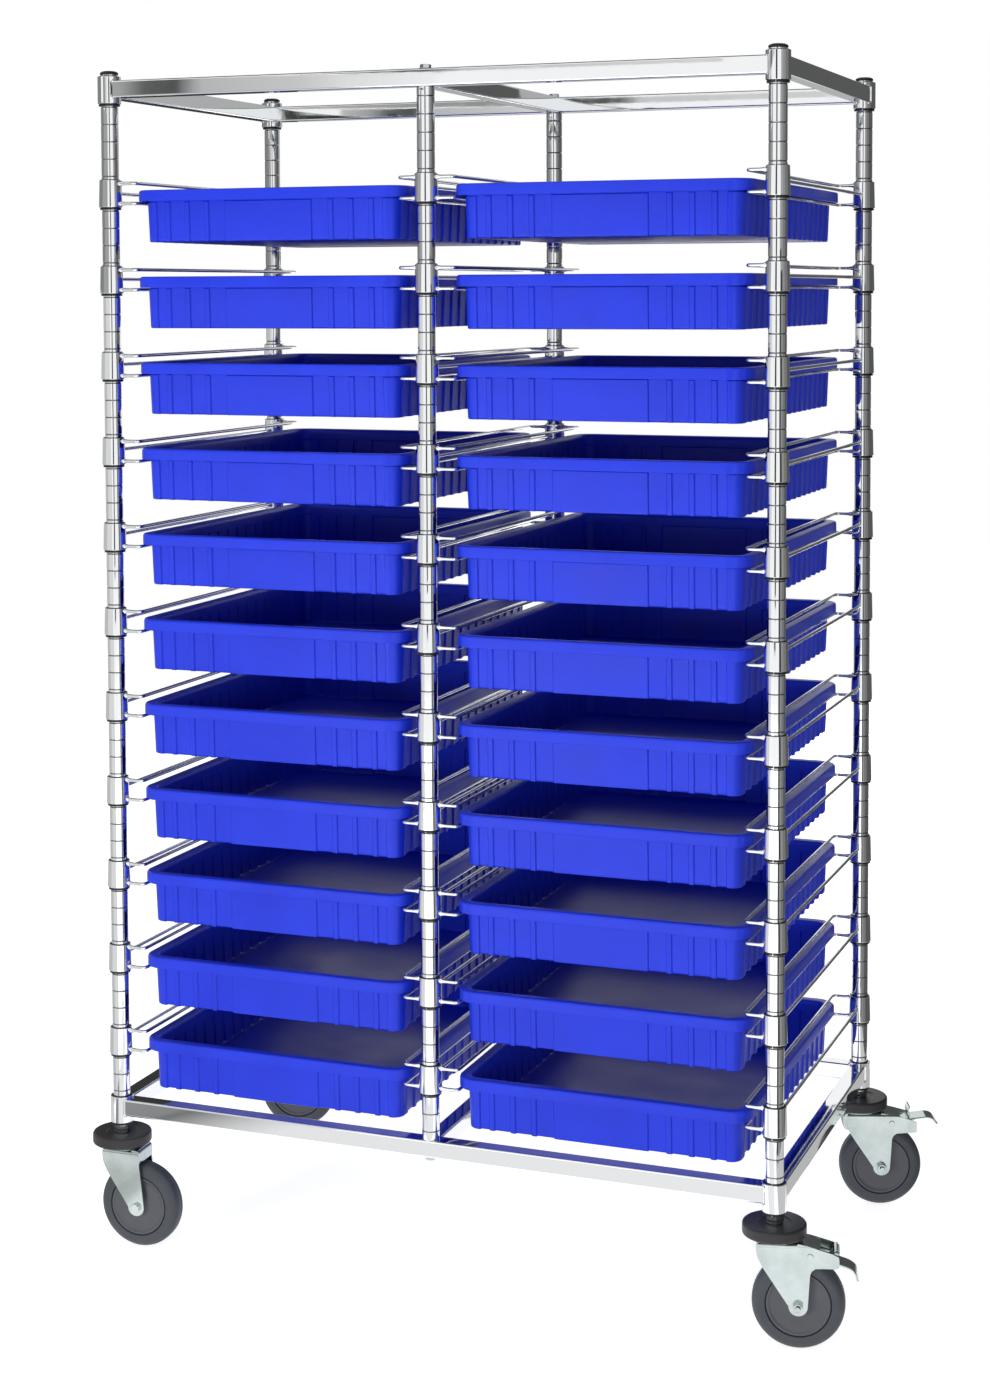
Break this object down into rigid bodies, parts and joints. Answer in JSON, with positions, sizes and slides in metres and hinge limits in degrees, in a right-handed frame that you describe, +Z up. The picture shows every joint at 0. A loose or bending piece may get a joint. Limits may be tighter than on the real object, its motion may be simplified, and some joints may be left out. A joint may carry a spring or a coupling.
{
  "type": "mobile bin cart",
  "caption": "Open double-bay cart of grooved chrome posts with wire slides that carry rows of shallow blue rimmed bins, on swivel casters, some with brakes.",
  "frame": {"origin": "on the floor under the middle of the outline at rest", "axes": "+Z up, -Y the front that the bins pull out to, +X to the right, where the braked casters are"},
  "size_m": [1.1739, 0.6397, 1.761],
  "materials": {
    "chrome": "bright chrome plate",
    "zinc": "bright zinc plate",
    "blue_plastic": "satin moulded polypropylene",
    "black_plastic": "satin moulded",
    "bumper_rubber": "satin moulded rubber",
    "tread_rubber": "smooth grey tread",
    "wheel_plastic": "fine moulded"
  },
  "bodies": {
    "root": {"post_front_left": "chrome", "post_front_right": "chrome", "post_rear_left": "chrome", "post_rear_right": "chrome", "post_front_middle": "chrome", "post_rear_middle": "chrome", "post_caps": "black_plastic", "top_frame": "chrome", "bottom_frame": "chrome", "middle_post_bolts": "zinc", "middle_post_inserts": "zinc", "left_slides": "chrome", "middle_slides": "chrome", "right_slides": "chrome", "split_sleeves": "black_plastic", "caster_stems": "zinc", "bumpers": "bumper_rubber"},
    "bin_left_01": {"bin_left_01": "blue_plastic"},
    "bin_left_02": {"bin_left_02": "blue_plastic"},
    "bin_left_03": {"bin_left_03": "blue_plastic"},
    "bin_left_04": {"bin_left_04": "blue_plastic"},
    "bin_left_05": {"bin_left_05": "blue_plastic"},
    "bin_left_06": {"bin_left_06": "blue_plastic"},
    "bin_left_07": {"bin_left_07": "blue_plastic"},
    "bin_left_08": {"bin_left_08": "blue_plastic"},
    "bin_left_09": {"bin_left_09": "blue_plastic"},
    "bin_left_10": {"bin_left_10": "blue_plastic"},
    "bin_left_11": {"bin_left_11": "blue_plastic"},
    "bin_right_01": {"bin_right_01": "blue_plastic"},
    "bin_right_02": {"bin_right_02": "blue_plastic"},
    "bin_right_03": {"bin_right_03": "blue_plastic"},
    "bin_right_04": {"bin_right_04": "blue_plastic"},
    "bin_right_05": {"bin_right_05": "blue_plastic"},
    "bin_right_06": {"bin_right_06": "blue_plastic"},
    "bin_right_07": {"bin_right_07": "blue_plastic"},
    "bin_right_08": {"bin_right_08": "blue_plastic"},
    "bin_right_09": {"bin_right_09": "blue_plastic"},
    "bin_right_10": {"bin_right_10": "blue_plastic"},
    "bin_right_11": {"bin_right_11": "blue_plastic"},
    "swivel_fl": {"fork_fl": "zinc", "axle_fl": "zinc"},
    "wheel_fl": {"hub_fl": "wheel_plastic", "tyre_fl": "tread_rubber"},
    "swivel_fr": {"fork_fr": "zinc", "axle_fr": "zinc", "brake_pin_fr": "zinc"},
    "wheel_fr": {"hub_fr": "wheel_plastic", "tyre_fr": "tread_rubber"},
    "brake_fr": {"brake_pedal_fr": "zinc"},
    "swivel_rl": {"fork_rl": "zinc", "axle_rl": "zinc"},
    "wheel_rl": {"hub_rl": "wheel_plastic", "tyre_rl": "tread_rubber"},
    "swivel_rr": {"fork_rr": "zinc", "axle_rr": "zinc", "brake_pin_rr": "zinc"},
    "wheel_rr": {"hub_rr": "wheel_plastic", "tyre_rr": "tread_rubber"},
    "brake_rr": {"brake_pedal_rr": "zinc"}
  },
  "joints": [
    {"name": "bin_left_01_slide", "type": "slide", "parent": "root", "child": "bin_left_01", "axis": [0, -1, 0], "range_m": [0, 0.5]},
    {"name": "bin_left_02_slide", "type": "slide", "parent": "root", "child": "bin_left_02", "axis": [0, -1, 0], "range_m": [0, 0.5]},
    {"name": "bin_left_03_slide", "type": "slide", "parent": "root", "child": "bin_left_03", "axis": [0, -1, 0], "range_m": [0, 0.5]},
    {"name": "bin_left_04_slide", "type": "slide", "parent": "root", "child": "bin_left_04", "axis": [0, -1, 0], "range_m": [0, 0.5]},
    {"name": "bin_left_05_slide", "type": "slide", "parent": "root", "child": "bin_left_05", "axis": [0, -1, 0], "range_m": [0, 0.5]},
    {"name": "bin_left_06_slide", "type": "slide", "parent": "root", "child": "bin_left_06", "axis": [0, -1, 0], "range_m": [0, 0.5]},
    {"name": "bin_left_07_slide", "type": "slide", "parent": "root", "child": "bin_left_07", "axis": [0, -1, 0], "range_m": [0, 0.5]},
    {"name": "bin_left_08_slide", "type": "slide", "parent": "root", "child": "bin_left_08", "axis": [0, -1, 0], "range_m": [0, 0.5]},
    {"name": "bin_left_09_slide", "type": "slide", "parent": "root", "child": "bin_left_09", "axis": [0, -1, 0], "range_m": [0, 0.5]},
    {"name": "bin_left_10_slide", "type": "slide", "parent": "root", "child": "bin_left_10", "axis": [0, -1, 0], "range_m": [0, 0.5]},
    {"name": "bin_left_11_slide", "type": "slide", "parent": "root", "child": "bin_left_11", "axis": [0, -1, 0], "range_m": [0, 0.5]},
    {"name": "bin_right_01_slide", "type": "slide", "parent": "root", "child": "bin_right_01", "axis": [0, -1, 0], "range_m": [0, 0.5]},
    {"name": "bin_right_02_slide", "type": "slide", "parent": "root", "child": "bin_right_02", "axis": [0, -1, 0], "range_m": [0, 0.5]},
    {"name": "bin_right_03_slide", "type": "slide", "parent": "root", "child": "bin_right_03", "axis": [0, -1, 0], "range_m": [0, 0.5]},
    {"name": "bin_right_04_slide", "type": "slide", "parent": "root", "child": "bin_right_04", "axis": [0, -1, 0], "range_m": [0, 0.5]},
    {"name": "bin_right_05_slide", "type": "slide", "parent": "root", "child": "bin_right_05", "axis": [0, -1, 0], "range_m": [0, 0.5]},
    {"name": "bin_right_06_slide", "type": "slide", "parent": "root", "child": "bin_right_06", "axis": [0, -1, 0], "range_m": [0, 0.5]},
    {"name": "bin_right_07_slide", "type": "slide", "parent": "root", "child": "bin_right_07", "axis": [0, -1, 0], "range_m": [0, 0.5]},
    {"name": "bin_right_08_slide", "type": "slide", "parent": "root", "child": "bin_right_08", "axis": [0, -1, 0], "range_m": [0, 0.5]},
    {"name": "bin_right_09_slide", "type": "slide", "parent": "root", "child": "bin_right_09", "axis": [0, -1, 0], "range_m": [0, 0.5]},
    {"name": "bin_right_10_slide", "type": "slide", "parent": "root", "child": "bin_right_10", "axis": [0, -1, 0], "range_m": [0, 0.5]},
    {"name": "bin_right_11_slide", "type": "slide", "parent": "root", "child": "bin_right_11", "axis": [0, -1, 0], "range_m": [0, 0.5]},
    {"name": "caster_swivel_fl", "type": "hinge", "parent": "root", "child": "swivel_fl", "pos_m": [-0.54295, -0.27595, 0.15], "axis": [0, 0, 1], "continuous": true},
    {"name": "wheel_spin_fl", "type": "hinge", "parent": "swivel_fl", "child": "wheel_fl", "pos_m": [-0.50997, -0.2748, 0.0635], "axis": [-0.0349, 0.9994, 0], "continuous": true},
    {"name": "caster_swivel_fr", "type": "hinge", "parent": "root", "child": "swivel_fr", "pos_m": [0.46705, -0.27595, 0.15], "axis": [0, 0, 1], "continuous": true},
    {"name": "wheel_spin_fr", "type": "hinge", "parent": "swivel_fr", "child": "wheel_fr", "pos_m": [0.49933, -0.26909, 0.0635], "axis": [-0.2079, 0.9781, 0], "continuous": true},
    {"name": "brake_tip_fr", "type": "hinge", "parent": "swivel_fr", "child": "brake_fr", "pos_m": [0.51498, -0.26576, 0.133], "axis": [0.2079, -0.9781, 0], "range_deg": [0, 25]},
    {"name": "caster_swivel_rl", "type": "hinge", "parent": "root", "child": "swivel_rl", "pos_m": [-0.54295, 0.26405, 0.15], "axis": [0, 0, 1], "continuous": true},
    {"name": "wheel_spin_rl", "type": "hinge", "parent": "swivel_rl", "child": "wheel_rl", "pos_m": [-0.51107, 0.27259, 0.0635], "axis": [-0.2588, 0.9659, 0], "continuous": true},
    {"name": "caster_swivel_rr", "type": "hinge", "parent": "root", "child": "swivel_rr", "pos_m": [0.46705, 0.26405, 0.15], "axis": [0, 0, 1], "continuous": true},
    {"name": "wheel_spin_rr", "type": "hinge", "parent": "swivel_rr", "child": "wheel_rr", "pos_m": [0.49806, 0.27534, 0.0635], "axis": [-0.342, 0.9397, 0], "continuous": true},
    {"name": "brake_tip_rr", "type": "hinge", "parent": "swivel_rr", "child": "brake_rr", "pos_m": [0.51309, 0.28081, 0.133], "axis": [0.342, -0.9397, 0], "range_deg": [-25, 0]}
  ]
}
